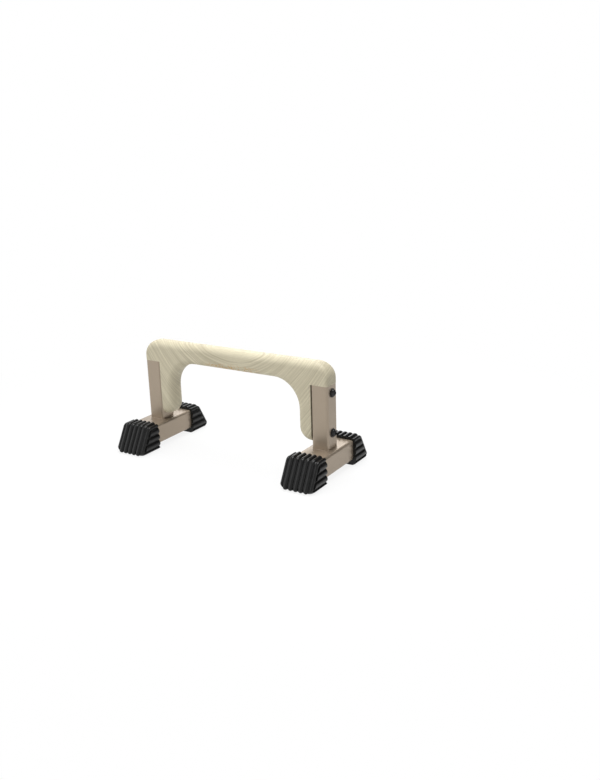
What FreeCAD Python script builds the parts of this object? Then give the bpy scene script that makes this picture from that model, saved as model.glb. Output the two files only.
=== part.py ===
"""Parallette bar: a wooden handle bolted to two welded steel stands on ribbed rubber feet.

Millimetres. X runs along the handle, Y from front to back and Z up.
The origin is on the ground, under the middle of the bar.
"""
import FreeCAD
import Part
import math
import os

Vector = FreeCAD.Vector

# Steel stands
post_spacing = 390.0        # between the two post centres
post_side = 35.0
post_wall = 2.5
post_corner = 5.0
post_height = 123.0         # from the base tube up to the handle
base_width = 60.0
base_height = 40.0
base_wall = 2.5
base_corner = 5.0
base_length = 144.0
weld_leg = 0.6
weld_top = 0.2              # width of the bead where it runs out on the post

# Handle
handle_thickness = 36.0
cap_height = 42.0           # wood above the post tops
beam_height = 40.0
leg_width = 30.0
leg_clearance = 12.0        # from the base tubes up to the ends of the legs
arch_radius = 54.0
toe_radius = 26.0
end_radius = 30.0
grip_roundover = 14.0
notch_ease = 1.6            # edges of the legs against the posts

# Screws, washers and threaded inserts
screw_diameter = 8.0
screw_grip = 18.0           # length of screw inside the wood
upper_screw_drop = 15.0     # below the post top
lower_screw_rise = 19.0     # above the end of the leg
head_diameter = 14.0
head_height = 5.8
head_rim = 1.2
socket_width = 5.0          # across the flats
socket_depth = 3.0
washer_diameter = 17.0
washer_thickness = 1.6
insert_diameter = 12.0
insert_length = 20.0
drill_spare = 2.0           # depth of the hole past the insert
post_hole_clearance = 0.5
washer_clearance = 0.3
insert_clearance = 0.15
thread_clearance = 0.2

# Rubber feet
sole_thickness = 10.2       # rubber under the base tube
foot_top_wall = 3.0         # over the tube, at the bottom of the grooves
foot_side_wall = 3.4
tube_clearance = 0.15
foot_grip = 18.0            # length of tube inside the foot
foot_top_length = 26.3
foot_sole_length = 56.1
foot_side_round = 9.3
edge_round_spare = 0.5      # rounder than the sides where the top turns down to the sloping end
sole_round_spare = 2.8      # less round than the sides at the edge of the sole, between the ribs
rib_height = 3.2
corner_tip_round = 8.5      # at the lower ends of the ribs on the corners and sides
rib_lift = 1.0              # ribs stop this far above the ground
crest_margin = 0.3          # from the crests of the ribs to the block that trims their lower ends
top_rib_count = 5
top_rib_pitch = 10.7
top_rib_radius = 4.8
corner_rib_radius = 3.5
side_rib_count = 4
side_rib_pitch = 13.0
side_rib_radius = 7.2
lowest_side_rib = 1.2       # height above the ground
side_rib_setback = 6.4      # square to the sloping end, up to the back of the corner rib

# Levels and places that follow from the sizes above
base_bottom = sole_thickness
base_top = base_bottom + base_height
post_bottom = base_top
post_top = post_bottom + post_height
handle_top = post_top + cap_height
arch_top = handle_top - beam_height
leg_bottom = base_top + leg_clearance
post_x = post_spacing / 2
outer_x = post_x + post_side / 2
shoulder_x = post_x - post_side / 2
leg_inner_x = shoulder_x - leg_width
corner_x = outer_x - end_radius
corner_z = handle_top - end_radius
half_thickness = handle_thickness / 2
upper_screw_z = post_top - upper_screw_drop
lower_screw_z = leg_bottom + lower_screw_rise
tolerance = 0.01


def rounded_wire(corners):
    """Closed wire through corners given as (point, radius), with a tangent arc at each."""
    arcs = []
    for index, (point, radius) in enumerate(corners):
        before = (corners[index - 1][0] - point).normalize()
        after = (corners[(index + 1) % len(corners)][0] - point).normalize()
        half_angle = before.getAngle(after) / 2
        reach = radius / math.tan(half_angle)
        inward = (before + after).normalize() if radius else Vector()
        middle = point + inward * (radius / math.sin(half_angle) - radius)
        arcs.append((point + before * reach, middle, point + after * reach))
    edges = []
    for index, (start, middle, end) in enumerate(arcs):
        if (end - start).Length > tolerance:
            edges.append(Part.Arc(start, middle, end).toShape())
        next_start = arcs[(index + 1) % len(arcs)][0]
        if (next_start - end).Length > tolerance:
            edges.append(Part.makeLine(end, next_start))
    return Part.Wire(edges)


def rounded_rectangle(centre, across, up, radius):
    """Rectangle about its centre from two half-side vectors, with rounded corners."""
    signs = ((-1, -1), (1, -1), (1, 1), (-1, 1))
    return rounded_wire([(centre + across * a + up * b, radius) for a, b in signs])


def prism(wire, direction):
    """Solid made by pushing a closed flat wire along a direction."""
    return Part.Face(wire).extrude(direction)


def tube(centre, across, up, direction, wall, corner):
    """Hollow tube with rounded corners outside and inside."""
    inner_across = across - Vector(across).normalize() * wall
    inner_up = up - Vector(up).normalize() * wall
    outside = prism(rounded_rectangle(centre, across, up, corner), direction)
    inside = prism(rounded_rectangle(centre, inner_across, inner_up, corner - wall), direction)
    return outside.cut(inside)


def rod_x(diameter, start_x, end_x, height):
    """Round bar along X at a height, on the middle plane."""
    return Part.makeCylinder(diameter / 2, end_x - start_x, Vector(start_x, 0, height), Vector(1, 0, 0))


def mirrored(shape, normal):
    """Copy of a shape on the other side of the origin plane with this normal."""
    return shape.mirror(Vector(), normal)


def both_ends(shape):
    """The shape made for the +X end, by side name, with its copy at the -X end."""
    return {"right": shape, "left": mirrored(shape, Vector(1, 0, 0))}


# Posts, drilled on both sides for the screws
post_section_x = Vector(post_side / 2, 0, 0)
post_section_y = Vector(0, post_side / 2, 0)
post_rise = Vector(0, 0, post_height)
post = tube(Vector(post_x, 0, post_bottom), post_section_x, post_section_y, post_rise, post_wall, post_corner)
for height in (upper_screw_z, lower_screw_z):
    post = post.cut(rod_x(screw_diameter + 2 * post_hole_clearance, shoulder_x - 1, outer_x + 1, height))

# Base tubes, flat on their wide side and open at both ends inside the feet
base_front = Vector(post_x, -base_length / 2, base_bottom + base_height / 2)
base_section_x = Vector(base_width / 2, 0, 0)
base_section_z = Vector(0, 0, base_height / 2)
base_run = Vector(0, base_length, 0)
base_tube = tube(base_front, base_section_x, base_section_z, base_run, base_wall, base_corner)


def post_outline(height, margin):
    """Outline of the post at a height, grown all round by a margin."""
    half_side = post_side / 2 + margin
    across = Vector(half_side, 0, 0)
    along = Vector(0, half_side, 0)
    return rounded_rectangle(Vector(post_x, 0, height), across, along, post_corner + margin)


# Fillet weld round the foot of the post
bead_wires = [post_outline(post_bottom, weld_leg), post_outline(post_bottom + weld_leg, weld_top)]
bead_block = Part.makeLoft(bead_wires, True, True)
weld_bead = bead_block.cut(prism(post_outline(post_bottom, 0), post_rise))


def handle_outline(corners):
    """Wire on the front face of the handle from corners given as (x, z, radius)."""
    return rounded_wire([(Vector(x, -half_thickness, z), radius) for x, z, radius in corners])


def on_outline(edge):
    """True for an edge that lies flat on the front or the back face."""
    return all(abs(abs(vertex.Y) - half_thickness) < tolerance for vertex in edge.Vertexes) \
        and edge.BoundBox.YLength < tolerance


# Handle: beam, arch and legs, rounded for the hand and only eased against the posts
through = Vector(0, handle_thickness, 0)
right_corners = [
    (corner_x, handle_top, 0),
    (corner_x, post_top, 0),
    (shoulder_x, post_top, 0),
    (shoulder_x, leg_bottom, 0),
    (leg_inner_x, leg_bottom, toe_radius),
    (leg_inner_x, arch_top, arch_radius),
]
left_corners = [(-x, z, radius) for x, z, radius in reversed(right_corners)]
beam = prism(handle_outline(right_corners + left_corners), through)
grip_edges = [e for e in beam.Edges if on_outline(e) and abs(e.CenterOfMass.x) < shoulder_x - tolerance]
beam = beam.makeFillet(grip_roundover, grip_edges)
notch_edges = []
for edge in beam.Edges:
    middle = edge.CenterOfMass
    against_post = edge.BoundBox.XLength < tolerance and abs(abs(middle.x) - shoulder_x) < tolerance
    if against_post and middle.z < post_top - tolerance:
        notch_edges.append(edge)
beam = beam.makeFillet(notch_ease, notch_edges)

# Handle ends: the roundover shrinks round the top corner until it matches the post below
corner_outline = handle_outline([(corner_x, corner_z, 0), (outer_x, corner_z, 0),
                                 (outer_x, handle_top, end_radius), (corner_x, handle_top, 0)])
corner_block = prism(corner_outline, through)
arc_edges = [e for e in corner_block.Edges if on_outline(e) and e.Curve.TypeId == "Part::GeomCircle"]
corner_block = corner_block.makeFillet(post_corner, grip_roundover, arc_edges)
end_corners = [
    (Vector(corner_x, -half_thickness, post_top), 0),
    (Vector(outer_x, -half_thickness, post_top), post_corner),
    (Vector(outer_x, half_thickness, post_top), post_corner),
    (Vector(corner_x, half_thickness, post_top), 0),
]
end_block = prism(rounded_wire(end_corners), Vector(0, 0, corner_z - post_top))
handle_end = both_ends(corner_block.fuse(end_block))
handle = beam.fuse([handle_end["right"], handle_end["left"]]).removeSplitter()

# Blind holes in the legs for the threaded inserts
hole_diameter = insert_diameter + 2 * insert_clearance
hole_end_x = shoulder_x - insert_length - drill_spare
for height in (upper_screw_z, lower_screw_z):
    for drill in both_ends(rod_x(hole_diameter, hole_end_x, shoulder_x + 1, height)).values():
        handle = handle.cut(drill)


def make_screw(height):
    """Dome-head socket screw: head outside the post, shank through it into the leg."""
    seat_x = outer_x + washer_thickness
    tip_x = shoulder_x - screw_grip
    head_radius = head_diameter / 2
    dome_rise = head_height - head_rim
    dome_radius = (head_radius ** 2 + dome_rise ** 2) / (2 * dome_rise)
    half_turn = math.asin(min(1.0, head_radius / dome_radius)) / 2
    dome_centre_x = seat_x + head_height - dome_radius
    tip = Vector(seat_x + head_height, 0, 0)
    rim = Vector(seat_x + head_rim, head_radius, 0)
    dome_middle = Vector(math.cos(half_turn), math.sin(half_turn), 0) * dome_radius
    dome_middle.x += dome_centre_x
    shank_end = Vector(tip_x, screw_diameter / 2, 0)
    shank_top = Vector(seat_x, screw_diameter / 2, 0)
    seat_edge = Vector(seat_x, head_radius, 0)
    outline = Part.makePolygon([tip, Vector(tip_x, 0, 0), shank_end, shank_top, seat_edge, rim]).Edges
    outline.append(Part.Arc(rim, dome_middle, tip).toShape())
    screw = Part.Face(Part.Wire(outline)).revolve(Vector(), Vector(1, 0, 0), 360)
    corner_reach = socket_width / 2 / math.cos(math.pi / 6)
    socket_x = tip.x - socket_depth
    angles = [math.radians(60 * step) for step in range(7)]
    ring = [Vector(socket_x, corner_reach * math.cos(a), corner_reach * math.sin(a)) for a in angles]
    screw = screw.cut(prism(Part.makePolygon(ring), Vector(socket_depth + 1, 0, 0)))
    screw.translate(Vector(0, 0, height))
    return screw


def make_washer(height):
    """Flat washer between the screw head and the post."""
    disc = rod_x(washer_diameter, outer_x, outer_x + washer_thickness, height)
    hole = rod_x(screw_diameter + 2 * washer_clearance, outer_x - 1, outer_x + washer_thickness + 1, height)
    return disc.cut(hole)


def make_insert(height):
    """Threaded insert in the leg, flush with the face against the post."""
    sleeve = rod_x(insert_diameter, shoulder_x - insert_length, shoulder_x, height)
    bore_diameter = screw_diameter + 2 * thread_clearance
    bore = rod_x(bore_diameter, shoulder_x - insert_length - 1, shoulder_x + 1, height)
    return sleeve.cut(bore)


# Feet: a rubber cap with a sloping end, ribbed over the top, down the end and along the sides
foot_half_width = base_width / 2 + foot_side_wall
foot_top = base_top + foot_top_wall
foot_edge_round = foot_side_round + edge_round_spare
sole_round = foot_side_round - sole_round_spare
rim_y = -(base_length / 2 - foot_grip)
sole_end_y = rim_y - foot_sole_length
end_slope = (foot_sole_length - foot_top_length) / foot_top
slope_cosine = 1 / math.hypot(1, end_slope)


def end_y(height, inset):
    """Where the sloping end is at a height, moved back square to the slope by an inset."""
    return sole_end_y + height * end_slope + inset / slope_cosine


def foot_side_wire(x, inset, bottom):
    """Side view of the foot at x, shrunk by an inset on its top and its sloping end."""
    top = foot_top - inset
    corners = [
        (Vector(x, rim_y, bottom), 0),
        (Vector(x, rim_y, top), 0),
        (Vector(x, end_y(top, inset), top), foot_edge_round - inset),
        (Vector(x, end_y(bottom, inset), bottom), 0),
    ]
    return rounded_wire(corners)


def rib_over_top(x, radius, inset):
    """Round rib from the rim over the top and down the end to a round nose.

    Its middle runs an inset under the rubber."""
    nose = Vector(x, end_y(rib_lift + radius, inset), rib_lift + radius)
    outline = foot_side_wire(x, inset, nose.z)
    spine = []
    for edge in outline.Edges:
        middle = edge.CenterOfMass
        if middle.y < rim_y - tolerance and middle.z > nose.z + tolerance:
            spine.append(edge)
    path = Part.Wire(Part.sortEdges(spine)[0])
    start = Vector(x, rim_y, foot_top - inset)
    circle = Part.Wire(Part.makeCircle(radius, start, Vector(0, 1, 0)))
    return path.makePipeShell([circle], True, False).fuse(Part.makeSphere(radius, nose))


def foot_block(margin, bottom, bottom_round):
    """Smooth block of a foot about x = 0, grown by a margin on its top, sides and end."""
    half_width = foot_half_width + margin
    block = prism(foot_side_wire(-half_width, -margin, bottom), Vector(2 * half_width, 0, 0))
    side_edges = []
    for edge in block.Edges:
        on_side = edge.BoundBox.XLength < tolerance
        middle = edge.CenterOfMass
        if on_side and middle.y < rim_y - tolerance and middle.z > bottom + tolerance:
            side_edges.append(edge)
    block = block.makeFillet(foot_side_round + margin, side_edges)
    sole_edges = []
    for edge in block.Edges:
        on_bottom = edge.BoundBox.ZMax < bottom + tolerance
        if on_bottom and edge.CenterOfMass.y < rim_y - tolerance:
            sole_edges.append(edge)
    return block.makeFillet(bottom_round, sole_edges)


def make_foot():
    """Foot at the front end of a base tube, about x = 0."""
    ribs = []
    # A larger block rounds the ribs on the corners and sides where they meet the ground
    round_block = foot_block(rib_height + crest_margin, rib_lift, corner_tip_round)
    for step in range(top_rib_count):
        x = (step - (top_rib_count - 1) / 2) * top_rib_pitch
        ribs.append(rib_over_top(x, top_rib_radius, top_rib_radius - rib_height))
    # A corner rib follows the rounded edge, as deep under it on the diagonal as it is thick
    diagonal = foot_side_round - (corner_rib_radius - rib_height)
    corner_inset = foot_side_round - diagonal * math.sqrt(0.5)
    side_rib_x = foot_half_width + rib_height - side_rib_radius
    side_wire = foot_side_wire(-base_width, side_rib_setback, -side_rib_radius)
    behind_corner_rib = prism(side_wire, Vector(2 * base_width, 0, 0))
    for side in (-1, 1):
        rib = rib_over_top(side * (foot_half_width - corner_inset), corner_rib_radius, corner_inset)
        ribs.append(rib.common(round_block))
        for step in range(side_rib_count):
            start = Vector(side * side_rib_x, sole_end_y, lowest_side_rib + step * side_rib_pitch)
            rib = Part.makeCylinder(side_rib_radius, rim_y - sole_end_y, start, Vector(0, 1, 0))
            ribs.append(rib.common(behind_corner_rib).common(round_block))
    foot = foot_block(0, 0, sole_round).fuse(ribs)

    pocket_x = Vector(base_width / 2 + tube_clearance, 0, 0)
    pocket_z = Vector(0, 0, base_height / 2 + tube_clearance)
    pocket_start = Vector(0, -base_length / 2, base_bottom + base_height / 2)
    pocket_wire = rounded_rectangle(pocket_start, pocket_x, pocket_z, base_corner + tube_clearance)
    return foot.cut(prism(pocket_wire, Vector(0, 2 * foot_grip, 0))).removeSplitter()


# Every piece by its node name
pieces = {"handle": handle}
for name, shape in (("post", post), ("base_tube", base_tube), ("weld_bead", weld_bead)):
    for side, copy in both_ends(shape).items():
        pieces[f"{side}_{name}"] = copy
for level, height in (("upper", upper_screw_z), ("lower", lower_screw_z)):
    for name, make in (("screw", make_screw), ("washer", make_washer), ("insert", make_insert)):
        for side, copy in both_ends(make(height)).items():
            pieces[f"{level}_{side}_{name}"] = copy
front_foot = make_foot()
front_foot.translate(Vector(post_x, 0, 0))
for end, shape in (("front", front_foot), ("rear", mirrored(front_foot, Vector(0, 1, 0)))):
    for side, copy in both_ends(shape).items():
        pieces[f"{end}_{side}_foot"] = copy

os.makedirs("parts", exist_ok=True)
for name, shape in pieces.items():
    solids = shape.Solids
    print(name, len(solids), "solid, valid:", shape.isValid(), "volume cm3:", round(shape.Volume / 1000, 2))
    solids[0].exportStep(f"parts/{name}.step")
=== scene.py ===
"""Looks of a parallette bar: painted steel stands, rubber feet, a wooden handle and its screws.

Metres, in the frame of the CAD model: X along the handle, Y from front to back, Z up.
"""
import math

import bmesh
import bpy
import numpy as np
from mathutils import Euler, Matrix, Vector


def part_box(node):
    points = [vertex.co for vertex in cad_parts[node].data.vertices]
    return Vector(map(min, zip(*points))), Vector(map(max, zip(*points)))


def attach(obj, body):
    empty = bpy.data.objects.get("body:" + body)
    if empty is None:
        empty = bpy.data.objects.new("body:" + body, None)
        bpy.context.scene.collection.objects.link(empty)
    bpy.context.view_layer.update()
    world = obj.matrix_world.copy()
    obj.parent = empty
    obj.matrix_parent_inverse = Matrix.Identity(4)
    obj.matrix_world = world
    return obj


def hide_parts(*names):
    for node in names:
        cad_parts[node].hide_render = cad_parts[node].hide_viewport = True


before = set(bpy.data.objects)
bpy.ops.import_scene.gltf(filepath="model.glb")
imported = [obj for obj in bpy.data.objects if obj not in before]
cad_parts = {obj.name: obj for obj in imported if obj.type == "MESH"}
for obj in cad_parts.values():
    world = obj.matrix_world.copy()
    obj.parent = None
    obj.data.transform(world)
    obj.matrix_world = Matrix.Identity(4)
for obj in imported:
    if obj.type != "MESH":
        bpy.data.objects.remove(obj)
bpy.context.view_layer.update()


# Base tubes and posts. Rectangular and square steel tube, welded into two stands and then
# coated with a taupe powder that carries fine metal flake and is baked to a smooth gloss.
# The coat has a faint orange peel.
def feed(tree, socket, value):
    """Gives an input its value: another node's output is linked, anything else is set."""
    if isinstance(value, bpy.types.NodeSocket):
        tree.links.new(value, socket)
    else:
        socket.default_value = value


def place(tree, kind, **values):
    """Adds a node and feeds its inputs by name, with an underscore for each space."""
    node = tree.nodes.new(kind)
    for name, value in values.items():
        feed(tree, node.inputs[name.replace("_", " ")], value)
    return node


def spread(tree, value, low, high, to_low=0.0, to_high=1.0):
    """Value carried evenly from one range to another, and held at the ends of the second."""
    ends = {"From_Min": low, "From_Max": high, "To_Min": to_low, "To_Max": to_high}
    return place(tree, "ShaderNodeMapRange", Value=value, **ends).outputs["Result"]


def tint(tree, factor, first, second):
    """Colour that goes from the first to the second with the factor; each a socket or linear RGB."""
    node = tree.nodes.new("ShaderNodeMix")
    node.data_type = "RGBA"
    feed(tree, node.inputs["Factor"], factor)
    ends = [socket for socket in node.inputs if socket.bl_idname == "NodeSocketColor"]
    for socket, colour in zip(ends, (first, second)):
        feed(tree, socket, colour if isinstance(colour, bpy.types.NodeSocket) else (*colour, 1.0))
    return next(socket for socket in node.outputs if socket.bl_idname == "NodeSocketColor")


def new_finish(name):
    """Empty material of this name with its shader: (material, tree, shader, object coordinates)."""
    material = bpy.data.materials.new(name)
    material.use_nodes = True
    tree = material.node_tree
    shader = tree.nodes["Principled BSDF"]
    return material, tree, shader, tree.nodes.new("ShaderNodeTexCoord").outputs["Object"]


# Noise keeps mostly between these values
noise_low, noise_high = 0.3, 0.7


def mottle_group():
    """Group for uneven finishes: soft cloudy patches and a fine speckle, each noise from 0 to 1."""
    group = bpy.data.node_groups.new("mottle", "ShaderNodeTree")
    layers = (("Patch Scale", "Patches", 3.0), ("Speckle Scale", "Speckle", 1.0))
    for scale_name, name, _ in layers:
        group.interface.new_socket(scale_name, in_out="INPUT", socket_type="NodeSocketFloat")
        group.interface.new_socket(name, in_out="OUTPUT", socket_type="NodeSocketFloat")
    entry = group.nodes.new("NodeGroupInput")
    leave = group.nodes.new("NodeGroupOutput")
    where = group.nodes.new("ShaderNodeTexCoord").outputs["Object"]
    for scale_name, name, detail in layers:
        scale = entry.outputs[scale_name]
        noise = place(group, "ShaderNodeTexNoise", Vector=where, Scale=scale, Detail=detail)
        group.links.new(spread(group, noise.outputs["Fac"], noise_low, noise_high), leave.inputs[name])
    return group


mottle = mottle_group()


def mottled(tree, patch_scale, speckle_scale):
    """The mottle group placed in a material: its patches and its speckle."""
    node = tree.nodes.new("ShaderNodeGroup")
    node.node_tree = mottle
    node.inputs["Patch Scale"].default_value = patch_scale
    node.inputs["Speckle Scale"].default_value = speckle_scale
    return node.outputs["Patches"], node.outputs["Speckle"]


def taupe_coat():
    """Metallic powder coat: flake shifts the colour a little, patches shift the gloss."""
    material, tree, shader, _ = new_finish("taupe_coat")
    patches, flake = mottled(tree, patch_scale=40.0, speckle_scale=2600.0)
    coat_dark = (0.337, 0.275, 0.209)
    coat_light = (0.376, 0.309, 0.236)
    glossiest, dullest = 0.31, 0.36
    tree.links.new(tint(tree, flake, coat_dark, coat_light), shader.inputs["Base Color"])
    shader.inputs["Metallic"].default_value = 0.55
    tree.links.new(spread(tree, patches, 0.0, 1.0, glossiest, dullest), shader.inputs["Roughness"])
    peel = place(tree, "ShaderNodeBump", Height=patches, Strength=0.03, Distance=0.0004)
    tree.links.new(peel.outputs["Normal"], shader.inputs["Normal"])
    return material


def dress(material, *nodes):
    """Gives CAD nodes this material."""
    for name in nodes:
        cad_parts[name].data.materials.clear()
        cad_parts[name].data.materials.append(material)


sides = ("left", "right")
paint = taupe_coat()
dress(paint, *[f"{side}_{piece}" for side in sides for piece in ("base_tube", "post")])


# Weld beads. A slim fillet weld runs round the foot of each post, laid in small overlapping
# ripples and painted over with the stand.
def grid_faces(rows, columns):
    """Quads of a grid of points whose rows and columns both close on themselves."""
    row, column = np.meshgrid(np.arange(rows), np.arange(columns), indexing="ij")
    here = row * columns
    below = (row + 1) % rows * columns
    beside = (column + 1) % columns
    corners = (here + column, here + beside, below + beside, below + column)
    return np.stack(corners, axis=-1).reshape(-1, 4)


def new_piece(name, points, faces, material, slot, *replaced):
    """Smooth mesh piece on the one body, with its finish and the CAD node that it stands for."""
    same_point, sharp_angle = 1e-7, math.radians(38)
    mesh = bpy.data.meshes.new(name)
    mesh.from_pydata(points.reshape(-1, 3).tolist(), [], faces.tolist())
    # Points that fall together at a seam or a pole become one, and all faces turn outwards
    shell = bmesh.new()
    shell.from_mesh(mesh)
    bmesh.ops.remove_doubles(shell, verts=shell.verts, dist=same_point)
    bmesh.ops.recalc_face_normals(shell, faces=shell.faces)
    shell.to_mesh(mesh)
    shell.free()
    mesh.polygons.foreach_set("use_smooth", np.ones(len(mesh.polygons), dtype=bool))
    mesh.set_sharp_from_angle(angle=sharp_angle)
    mesh.materials.append(material)
    piece = bpy.data.objects.new(name, mesh)
    bpy.context.scene.collection.objects.link(piece)
    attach(piece, "root")
    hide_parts(*replaced)


def post_ring(side, count):
    """Points evenly spaced round the post: (points, outward directions, way gone from the first).

    Each quarter of the way is a straight flat and then a quarter circle round a corner."""
    low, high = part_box(f"{side}_post")
    centre = np.array([(low.x + high.x) / 2, (low.y + high.y) / 2])
    corner = 0.005
    flat = (high.x - low.x) - 2 * corner
    arc = corner * math.pi / 2
    lap = np.arange(count) / count * 4 * (flat + arc)
    turn, along = np.divmod(lap, flat + arc)
    bend = np.clip((along - flat) / arc, 0, 1) * math.pi / 2
    # One side and the corner after it, then turned by a quarter for each side before it
    x = np.minimum(along, flat) - flat / 2 + corner * np.sin(bend)
    y = -flat / 2 - corner * np.cos(bend)
    quarter = turn * math.pi / 2
    cosine, sine = np.cos(quarter), np.sin(quarter)
    ring = centre + np.stack([x * cosine - y * sine, x * sine + y * cosine], axis=-1)
    facing = quarter + bend - math.pi / 2
    return ring, np.stack([np.cos(facing), np.sin(facing)], axis=-1), lap


def weld_bead(side):
    """Bead: at each place round the post, a section that swells and thins with the ripples.

    The section is a quarter disc, from the tube's top to the post's face, closed behind. Its
    leg is the least leg plus the swell times the size of a sine of the way gone."""
    base_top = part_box(f"{side}_base_tube")[1].z
    places, section_points = 480, 7
    ripple_pitch, least_leg, swell = 0.0021, 0.00054, 0.00006
    ring, outward, lap = post_ring(side, places)
    leg = least_leg + swell * np.abs(np.sin(math.pi * lap / ripple_pitch))
    bulge = np.linspace(0.0, math.pi / 2, section_points)
    # Section points as (out, up) shares of the leg, bottom to top, then back inside the post
    proud, inside, sunk = 0.03, -0.6, -0.02
    out = np.concatenate([np.cos(bulge) * (1 - proud) + proud, [inside, inside]])
    up = np.concatenate([np.sin(bulge), [1.0, sunk]])
    up[0] = sunk
    flat = ring[:, None, :] + outward[:, None, :] * (leg[:, None] * out)[..., None]
    height = base_top + leg[:, None] * up
    points = np.concatenate([flat, height[..., None]], axis=-1)
    faces = grid_faces(len(lap), len(out))
    new_piece(f"{side}_weld_ripples", points, faces, paint, "stand_paint", f"{side}_weld_bead")


for side in sides:
    weld_bead(side)


# Feet. Black rubber caps moulded with ribs over the top, down the sloping end and along the
# sides, pushed over the ends of the base tubes. The mould leaves a satin skin.
def foot_rubber():
    """Black rubber with a fine moulded grain and a faint bloom in patches."""
    material, tree, shader, _ = new_finish("foot_rubber")
    bloom, grain = mottled(tree, patch_scale=90.0, speckle_scale=1500.0)
    rubber_dark = (0.006, 0.006, 0.006)
    rubber_light = (0.010, 0.010, 0.010)
    glossiest, dullest = 0.27, 0.33
    tree.links.new(tint(tree, bloom, rubber_dark, rubber_light), shader.inputs["Base Color"])
    tree.links.new(spread(tree, bloom, 0.0, 1.0, glossiest, dullest), shader.inputs["Roughness"])
    shader.inputs["Specular IOR Level"].default_value = 0.25
    skin = place(tree, "ShaderNodeBump", Height=grain, Strength=0.12, Distance=0.0003)
    tree.links.new(skin.outputs["Normal"], shader.inputs["Normal"])
    return material


dress(foot_rubber(), *[f"{end}_{side}_foot" for end in ("front", "rear") for side in sides])


# Handle. One piece of pale ash, cut with its legs from a wide board, notched over the posts,
# rounded over for the hand, sanded and oiled. The growth rings show as nested bowls on its faces.
def reckon(tree, operation, first, second=0.0):
    """Result of one Math node, from sockets or numbers."""
    node = tree.nodes.new("ShaderNodeMath")
    node.operation = operation
    feed(tree, node.inputs[0], first)
    feed(tree, node.inputs[1], second)
    return node.outputs["Value"]


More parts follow.
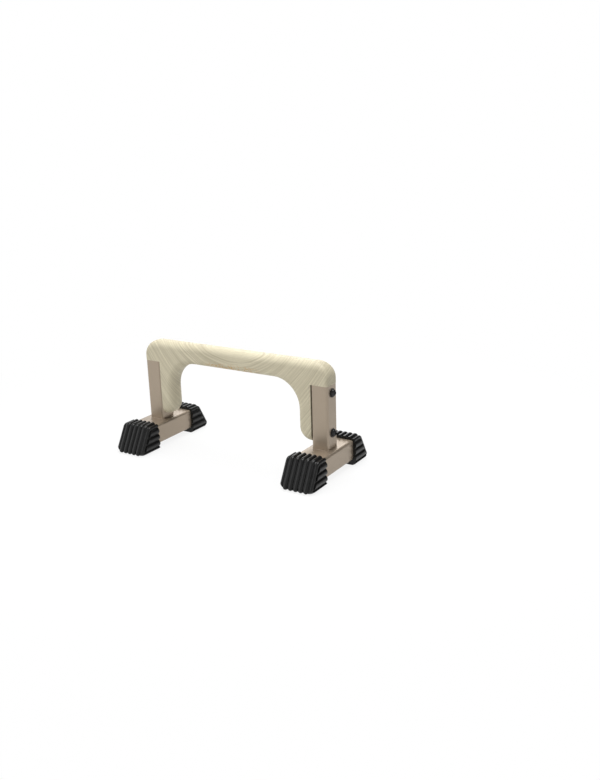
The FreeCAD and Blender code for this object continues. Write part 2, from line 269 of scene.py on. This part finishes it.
def pale_ash():
    """Ash: ring = z - bend * across * across, a bowl whose sides steepen towards both ends.

    Here across = x - middle + (lean - twist * x) * (y + half the thickness), as the grain leans
    through the board, more so at the left end. Bands, lines and pores are noise over the ring and
    drawn out along it, so that their widths vary. Inside the innermost bowl the wood is paler
    and almost plain."""
    material, tree, shader, where = new_finish("pale_ash")
    axes = place(tree, "ShaderNodeSeparateXYZ", Vector=where).outputs
    bend, middle = 3.87, 0.004
    lean, twist, half_thickness = 0.65, 1.8, 0.018
    leaning = reckon(tree, "SUBTRACT", lean, reckon(tree, "MULTIPLY", axes["X"], twist))
    depth = reckon(tree, "ADD", axes["Y"], half_thickness)
    sideways = reckon(tree, "SUBTRACT", axes["X"], middle)
    across = reckon(tree, "ADD", sideways, reckon(tree, "MULTIPLY", leaning, depth))
    bowl = reckon(tree, "MULTIPLY", reckon(tree, "MULTIPLY", across, across), -bend)
    # The rings stray a little from the bowl's true course
    stray, stray_scale = 0.002, 14.0
    wander = place(tree, "ShaderNodeTexNoise", Vector=where, Scale=stray_scale, Detail=2.0).outputs["Fac"]
    ring = reckon(tree, "ADD", bowl, spread(tree, wander, noise_low, noise_high, -stray, stray))
    ring = reckon(tree, "ADD", ring, axes["Z"])

    def along_grain(width, length):
        """Noise from 0 to 1 with features this wide across the rings and this long along them."""
        share = width / length
        grain_low, grain_high = 0.32, 0.68
        x, y = (reckon(tree, "MULTIPLY", axes[name], share) for name in "XY")
        grain = place(tree, "ShaderNodeCombineXYZ", X=x, Y=y, Z=ring).outputs["Vector"]
        noise = place(tree, "ShaderNodeTexNoise", Vector=grain, Scale=1 / width, Detail=1.0)
        return spread(tree, noise.outputs["Fac"], grain_low, grain_high)

    bands = along_grain(width=0.0046, length=0.12)
    lines = along_grain(width=0.0020, length=0.08)
    pores = along_grain(width=0.0014, length=0.006)
    band_share, line_share, pore_share = 0.42, 0.58, 0.24
    banded = reckon(tree, "MULTIPLY", bands, band_share)
    figure = reckon(tree, "ADD", banded, reckon(tree, "MULTIPLY", lines, line_share))
    # The figure fades inside the innermost bowl, which is outlined by one dark band
    inner_ring, inner_width = 0.1955, 0.003
    plainest, plain_figure, outline = 0.6, 0.34, 0.3
    plain = spread(tree, ring, inner_ring, inner_ring + 2 * inner_width, 0.0, plainest)
    faded = reckon(tree, "MULTIPLY", reckon(tree, "SUBTRACT", 1.0, plain), figure)
    figure = reckon(tree, "ADD", faded, reckon(tree, "MULTIPLY", plain, plain_figure))
    from_inner = reckon(tree, "ABSOLUTE", reckon(tree, "SUBTRACT", ring, inner_ring))
    figure = reckon(tree, "ADD", figure, spread(tree, from_inner, 0.0, inner_width, outline, 0.0))
    wood_pale = (0.660, 0.609, 0.454)
    wood_dark = (0.423, 0.378, 0.268)
    colour = tint(tree, figure, wood_pale, wood_dark)
    colour = tint(tree, reckon(tree, "MULTIPLY", pores, pore_share), colour, wood_dark)
    # Brown flecks show low on the front, in the middle of the bowl
    fleck_brown = (0.48, 0.27, 0.09)
    fleck_share, fleck_scale = 0.8, 330.0
    fleck_faint, fleck_full = 0.54, 0.62
    fleck_foot, fleck_crown = 0.183, 0.191
    fleck_core, fleck_reach = 0.04, 0.07
    front_full, front_end = -0.004, 0.002
    flecks = place(tree, "ShaderNodeTexNoise", Vector=where, Scale=fleck_scale, Detail=0.0).outputs["Fac"]
    flecks = spread(tree, flecks, fleck_faint, fleck_full, 0.0, fleck_share)
    low_down = spread(tree, axes["Z"], fleck_foot, fleck_crown, 1.0, 0.0)
    from_middle = reckon(tree, "ABSOLUTE", axes["X"])
    central = spread(tree, from_middle, fleck_core, fleck_reach, 1.0, 0.0)
    flecks = reckon(tree, "MULTIPLY", flecks, reckon(tree, "MULTIPLY", low_down, central))
    in_front = spread(tree, axes["Y"], front_full, front_end, 1.0, 0.0)
    flecks = reckon(tree, "MULTIPLY", flecks, in_front)
    colour = tint(tree, flecks, colour, fleck_brown)
    # Painted shade: the wood close against the posts, below the top of the notch, is darkened to draw the
    # shaded groove as a line down each joint
    post_face, notch_top, notch_fade = 0.1775, 0.1732, 0.0012
    groove_shade_colour, groove_shade_share = (0.030, 0.028, 0.022), 0.6
    groove_shade_full, groove_shade_end = 0.0001, 0.0004
    from_post = reckon(tree, "ABSOLUTE", reckon(tree, "SUBTRACT", from_middle, post_face))
    groove_shade = spread(tree, from_post, groove_shade_full, groove_shade_end, groove_shade_share, 0.0)
    in_notch = spread(tree, axes["Z"], notch_top - notch_fade, notch_top, 1.0, 0.0)
    colour = tint(tree, reckon(tree, "MULTIPLY", groove_shade, in_notch), colour, groove_shade_colour)
    tree.links.new(colour, shader.inputs["Base Color"])
    glossiest, dullest = 0.48, 0.60
    tree.links.new(spread(tree, lines, 0.0, 1.0, glossiest, dullest), shader.inputs["Roughness"])
    shader.inputs["Specular IOR Level"].default_value = 0.35
    grain = place(tree, "ShaderNodeBump", Height=pores, Strength=0.08, Distance=0.0003)
    tree.links.new(grain.outputs["Normal"], shader.inputs["Normal"])
    return material


dress(pale_ash(), "handle")


# Inserts. Turned brass bushes with a coarse outside thread, screwed into the legs from the
# post side and flush with the wood. The screws pull on the thread inside them.
def turned_brass():
    """Brass straight from the lathe: fine rings, a sine of the place along the axis."""
    material, tree, shader, where = new_finish("turned_brass")
    axes = place(tree, "ShaderNodeSeparateXYZ", Vector=where).outputs
    brass_dark = (0.62, 0.43, 0.17)
    brass_light = (0.72, 0.52, 0.24)
    radians_per_metre = 21000.0
    glossiest, dullest = 0.24, 0.34
    marks = reckon(tree, "SINE", reckon(tree, "MULTIPLY", axes["X"], radians_per_metre))
    shade = tint(tree, spread(tree, marks, -1.0, 1.0), brass_dark, brass_light)
    tree.links.new(shade, shader.inputs["Base Color"])
    shader.inputs["Metallic"].default_value = 1.0
    tree.links.new(spread(tree, marks, -1.0, 1.0, glossiest, dullest), shader.inputs["Roughness"])
    return material


def turned(place_x, radius, axis_z, x_sign):
    """Points of a turned piece: each profile row goes once round the axis along X."""
    angle = np.arange(radius.shape[1]) / radius.shape[1] * 2 * math.pi * x_sign
    x = np.broadcast_to(place_x, radius.shape)
    return np.stack([x, radius * np.sin(angle), axis_z + radius * np.cos(angle)], axis=-1)


def screw_thread(place_x, round_share, pitch, depth):
    """How far a thread cuts in: a triangle wave of the place along and round the axis."""
    phase = np.abs(((place_x[:, None] / pitch - round_share) % 1.0) * 2 - 1)
    return depth * phase


def insert_bush(level, side, material):
    """Bush: a threaded outside and a threaded bore, joined by the two flat ends."""
    name = f"{level}_{side}_insert"
    low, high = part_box(name)
    sign = 1 if side == "right" else -1
    axis_z = (low.z + high.z) / 2
    outer, bore = (high.z - low.z) / 2, 0.0042
    wood_pitch, wood_depth = 0.0025, 0.0008
    screw_pitch, screw_depth = 0.00125, 0.0005
    rows, columns = 160, 48
    steps = np.linspace(low.x, high.x, rows)[::sign]
    round_share = np.arange(columns) / columns
    outside = outer - screw_thread(steps, round_share, wood_pitch, wood_depth)
    inside = bore + screw_thread(steps[::-1], round_share, screw_pitch, screw_depth)
    place_x = np.concatenate([steps, steps[::-1]])[:, None]
    points = turned(place_x, np.concatenate([outside, inside]), axis_z, -sign)
    faces = grid_faces(*points.shape[:2])
    new_piece(f"{name}_bush", points, faces, material, "insert_brass", name)


levels = ("upper", "lower")
brass = turned_brass()
for level in levels:
    for side in sides:
        insert_bush(level, side, brass)


# Washers. Plain black washers, pressed from sheet so that their edges are a little rounded.
# They spread each screw's pull over the outer face of the post.
def black_oxide():
    """Blacked steel: near black, satin, with a faint uneven gloss."""
    material, tree, shader, _ = new_finish("black_oxide")
    patches, grit = mottled(tree, patch_scale=300.0, speckle_scale=4000.0)
    oxide_dark = (0.006, 0.006, 0.007)
    oxide_light = (0.010, 0.010, 0.010)
    glossiest, dullest = 0.26, 0.36
    tree.links.new(tint(tree, patches, oxide_dark, oxide_light), shader.inputs["Base Color"])
    shader.inputs["Specular IOR Level"].default_value = 0.35
    tree.links.new(spread(tree, grit, 0.0, 1.0, glossiest, dullest), shader.inputs["Roughness"])
    return material


def pressed_washer(level, side, material):
    """Washer: a flat ring whose four edges are quarter rounds."""
    name = f"{level}_{side}_washer"
    low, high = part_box(name)
    sign = 1 if side == "right" else -1
    axis_z = (low.z + high.z) / 2
    hole, edge = 0.0043, 0.0004
    outer = (high.z - low.z) / 2 - edge
    inner = hole + edge
    middle_x = (low.x + high.x) / 2
    half = (high.x - low.x) / 2 - edge
    edge_points, columns = 5, 72
    quarter = np.linspace(0.0, math.pi / 2, edge_points)
    turn = np.concatenate([quarter + step * math.pi / 2 for step in range(4)])
    corner_x = np.repeat([half, -half, -half, half], edge_points)
    corner_r = np.repeat([outer, outer, inner, inner], edge_points)
    place_x = middle_x + sign * (corner_x + edge * np.cos(turn))
    radius = corner_r + edge * np.sin(turn)
    rings = np.repeat(radius[:, None], columns, axis=1)
    points = turned(place_x[:, None], rings, axis_z, sign)
    faces = grid_faces(*points.shape[:2])
    new_piece(f"{name}_ring", points, faces, material, "black_steel", name)


blacked = black_oxide()
for level in levels:
    for side in sides:
        pressed_washer(level, side, blacked)


# Screws. Black dome-head screws with a hexagon socket, passed through washer and post and
# tightened into the inserts. The shank is threaded over the length that the insert takes.
def closed_grid(rows, columns):
    """Quads of a grid whose columns go round, with the first and last rows as single points."""
    return grid_faces(rows, columns)[:(rows - 1) * columns]


def dome_screw(level, side, material):
    """Screw: one skin from the tip, along the shank, over the dome and down into the socket.

    The socket's wall is a hexagon: half its width over the cosine of the angle to the nearest
    flat. Places along the screw are measured from its tip."""
    name = f"{level}_{side}_screw"
    low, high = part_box(name)
    sign = 1 if side == "right" else -1
    axis_z = (low.z + high.z) / 2
    tip_x = low.x if side == "right" else high.x
    washer_low, washer_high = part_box(f"{level}_{side}_washer")
    seat = abs((washer_high.x if side == "right" else washer_low.x) - tip_x)
    shank, head = 0.0039, (high.z - low.z) / 2
    tip_flat, tip_edge, tip_length = 0.0028, 0.0032, 0.0004
    thread_start, thread_end, shank_end = 0.001, 0.021, 0.0215
    thread_pitch, thread_depth = 0.00125, 0.0006
    neck, head_edge = 0.0002, 0.0003
    rim_height, dome_height = 0.0012, 0.0058
    rim, dome_top = seat + rim_height, seat + dome_height
    socket_half, socket_depth, drill_cone, cone_tip = 0.0025, 0.003, 0.0006, 0.02
    columns, thread_rows, dome_rows = 96, 150, 16
    round_share = np.arange(columns) / columns
    flat_turn = (round_share * 6) % 1.0 - 0.5
    hexagon = socket_half / np.cos(flat_turn * math.pi / 3)[None]
    socket_floor = np.full((1, columns), dome_top - socket_depth)

    def circles(along, radius):
        """Rows at places along the screw, each a circle of the radius given for it."""
        return [np.repeat(np.array(values)[:, None], columns, axis=1) for values in (along, radius)]

    thread_x = np.linspace(thread_start, thread_end, thread_rows)
    thread_r = shank - screw_thread(thread_x, round_share, thread_pitch, thread_depth)
    # The dome runs from the rim in to the socket's edge, and stays on one sphere all the way
    rise = dome_top - rim
    dome_radius = (head ** 2 + rise ** 2) / (2 * rise)
    blend = np.linspace(0.0, 1.0, dome_rows)[:, None]
    dome_r = head * (1 - blend) + (hexagon + head_edge) * blend
    dome_x = rim + np.sqrt(dome_radius ** 2 - dome_r ** 2) - (dome_radius - rise)
    parts = [
        circles([0.0, 0.0, tip_length], [0.0, tip_flat, tip_edge]),
        (np.repeat(thread_x[:, None], columns, axis=1), thread_r),
        circles([shank_end, seat - neck, seat, seat, seat + head_edge, rim - head_edge],
                [shank, shank, shank + neck, head - head_edge, head, head]),
        (dome_x, dome_r),
        (dome_x[-1:] - head_edge, hexagon),
        (socket_floor, hexagon),
        (socket_floor - drill_cone, hexagon * cone_tip),
        (socket_floor - drill_cone, hexagon * 0.0),
    ]
    along = np.concatenate([part_along for part_along, _ in parts])
    radius = np.concatenate([part_radius for _, part_radius in parts])
    points = turned(tip_x + sign * along, radius, axis_z, -sign)
    faces = closed_grid(*points.shape[:2])
    new_piece(f"{name}_turned", points, faces, material, "black_steel", name)


for level in levels:
    for side in sides:
        dome_screw(level, side, blacked)


# Floor and light. A plain white floor and surround in a studio, lit by a large soft box above
# the bar, a wide weaker one in front and a low card behind. In the gloss the surround darkens
# upwards and towards a dark card, and as a lamp it is brighter from the front and the left.
def white_floor():
    """Floor: white where it is seen, with a part of the shadow that falls near the bar."""
    material, tree, shader, where = new_finish("white_floor")
    shader.inputs["Roughness"].default_value = 0.9
    path = tree.nodes.new("ShaderNodeLightPath").outputs
    seen = reckon(tree, "MAXIMUM", path["Is Camera Ray"], path["Is Glossy Ray"])
    seen = reckon(tree, "MAXIMUM", seen, path["Is Transmission Ray"])
    bounce_grey, seen_grey = 0.60, 0.76
    tree.links.new(spread(tree, seen, 0.0, 1.0, bounce_grey, seen_grey), shader.inputs["Base Color"])
    distance = tree.nodes.new("ShaderNodeVectorMath")
    distance.operation = "LENGTH"
    tree.links.new(where, distance.inputs[0])
    # The glow hides most of the shadow near the bar and all of it farther out
    near, far, near_glow = 0.35, 0.9, 0.86
    share = spread(tree, distance.outputs["Value"], near, far, near_glow, 1.0)
    glow = place(tree, "ShaderNodeEmission", Strength=1.0)
    mix = place(tree, "ShaderNodeMixShader", Fac=reckon(tree, "MULTIPLY", seen, share))
    tree.links.new(shader.outputs["BSDF"], mix.inputs[1])
    tree.links.new(glow.outputs["Emission"], mix.inputs[2])
    tree.links.new(mix.outputs["Shader"], tree.nodes["Material Output"].inputs["Surface"])
    return material


floor_half = 8.0
floor_mesh = bpy.data.meshes.new("floor")
floor_corners = [(x * floor_half, y * floor_half, 0.0) for x, y in ((-1, -1), (1, -1), (1, 1), (-1, 1))]
floor_mesh.from_pydata(floor_corners, [], [(0, 1, 2, 3)])
floor_mesh.materials.append(white_floor())
floor = bpy.data.objects.new("floor", floor_mesh)
bpy.context.scene.collection.objects.link(floor)


def studio_surround():
    """World: white to the eye, fading upwards and towards a dark card in the gloss, and as a lamp
    brighter from the front and the left. Each kind of ray takes its own level."""
    world = bpy.data.worlds.new("studio")
    bpy.context.scene.world = world
    world.use_nodes = True
    tree = world.node_tree
    background = tree.nodes["Background"]
    background.inputs["Color"].default_value = (1.0, 1.0, 1.0, 1.0)
    direction = tree.nodes.new("ShaderNodeTexCoord").outputs["Generated"]
    height = place(tree, "ShaderNodeSeparateXYZ", Vector=direction).outputs["Z"]
    path = tree.nodes.new("ShaderNodeLightPath").outputs

    def towards(aim):
        """Cosine of the angle between the line of sight and a direction."""
        node = tree.nodes.new("ShaderNodeVectorMath")
        node.operation = "DOT_PRODUCT"
        tree.links.new(direction, node.inputs[0])
        node.inputs[1].default_value = aim
        return node.outputs["Value"]

    fade_start, fade_end = math.sin(math.radians(20)), math.sin(math.radians(32))
    ceiling_level = 0.4
    in_gloss = spread(tree, height, fade_start, fade_end, 1.0, ceiling_level)
    # A dark card behind, to the right, draws a dark line along the rounded edges of the tubes
    card_aim, card_level = (0.379, 0.866, 0.325), 0.05
    card_edge, card_middle = math.cos(math.radians(42)), math.cos(math.radians(28))
    card = spread(tree, towards(card_aim), card_edge, card_middle, 1.0, card_level)
    in_gloss = reckon(tree, "MULTIPLY", in_gloss, card)
    glossy = reckon(tree, "MAXIMUM", path["Is Glossy Ray"], path["Is Transmission Ray"])
    level = reckon(tree, "ADD", reckon(tree, "MULTIPLY", glossy, in_gloss), path["Is Camera Ray"])
    neither = reckon(tree, "SUBTRACT", 1.0, reckon(tree, "MAXIMUM", glossy, path["Is Camera Ray"]))
    # As a lamp it is brighter from the front and the left, as from windows on that side
    window_aim, window_level = (-0.64, -0.77, 0.0), 0.95
    as_lamp = spread(tree, towards(window_aim), -1.0, 1.0, 0.0, window_level)
    level = reckon(tree, "ADD", level, reckon(tree, "MULTIPLY", neither, as_lamp))
    tree.links.new(level, background.inputs["Strength"])


studio_surround()


def soft_box(name, spot, aim, size, power):
    """Square area lamp at a spot, turned to face a point."""
    lamp = bpy.data.lights.new(name, "AREA")
    lamp.size = size
    lamp.energy = power
    holder = bpy.data.objects.new(name, lamp)
    holder.location = spot
    holder.rotation_euler = (Vector(spot) - Vector(aim)).to_track_quat("Z", "Y").to_euler()
    bpy.context.scene.collection.objects.link(holder)


soft_box("top_box", spot=(0.15, 0.3, 1.7), aim=(0.0, 0.0, 0.12), size=1.2, power=34.2)
soft_box("front_fill", spot=(-1.5, -1.8, 1.35), aim=(0.0, 0.0, 0.12), size=2.6, power=20.5)
soft_box("back_card", spot=(-1.10, 2.05, 0.80), aim=(0.0, 0.0, 0.05), size=1.5, power=11.0)


# Camera. It stands in front of the bar and off its right-hand end, looks down on it a little,
# and is tilted slightly to one side.
focal_pixels = 881.58
image_width = 600
camera_data = bpy.data.cameras.new("camera")
camera_data.sensor_fit = "HORIZONTAL"
camera_data.sensor_width = 36.0
camera_data.lens = camera_data.sensor_width * focal_pixels / image_width
camera_spot = (0.97222, -1.31595, 0.64181)
azimuth, elevation, roll = math.radians(32.18), math.radians(17.42), math.radians(1.65)
facing = Euler((math.pi / 2 - elevation, 0.0, azimuth)).to_matrix() @ Matrix.Rotation(-roll, 3, "Z")
camera = bpy.data.objects.new("camera", camera_data)
camera.matrix_world = Matrix.Translation(camera_spot) @ facing.to_4x4()
bpy.context.scene.collection.objects.link(camera)
bpy.context.scene.camera = camera
bpy.context.scene.view_settings.view_transform = "Standard"
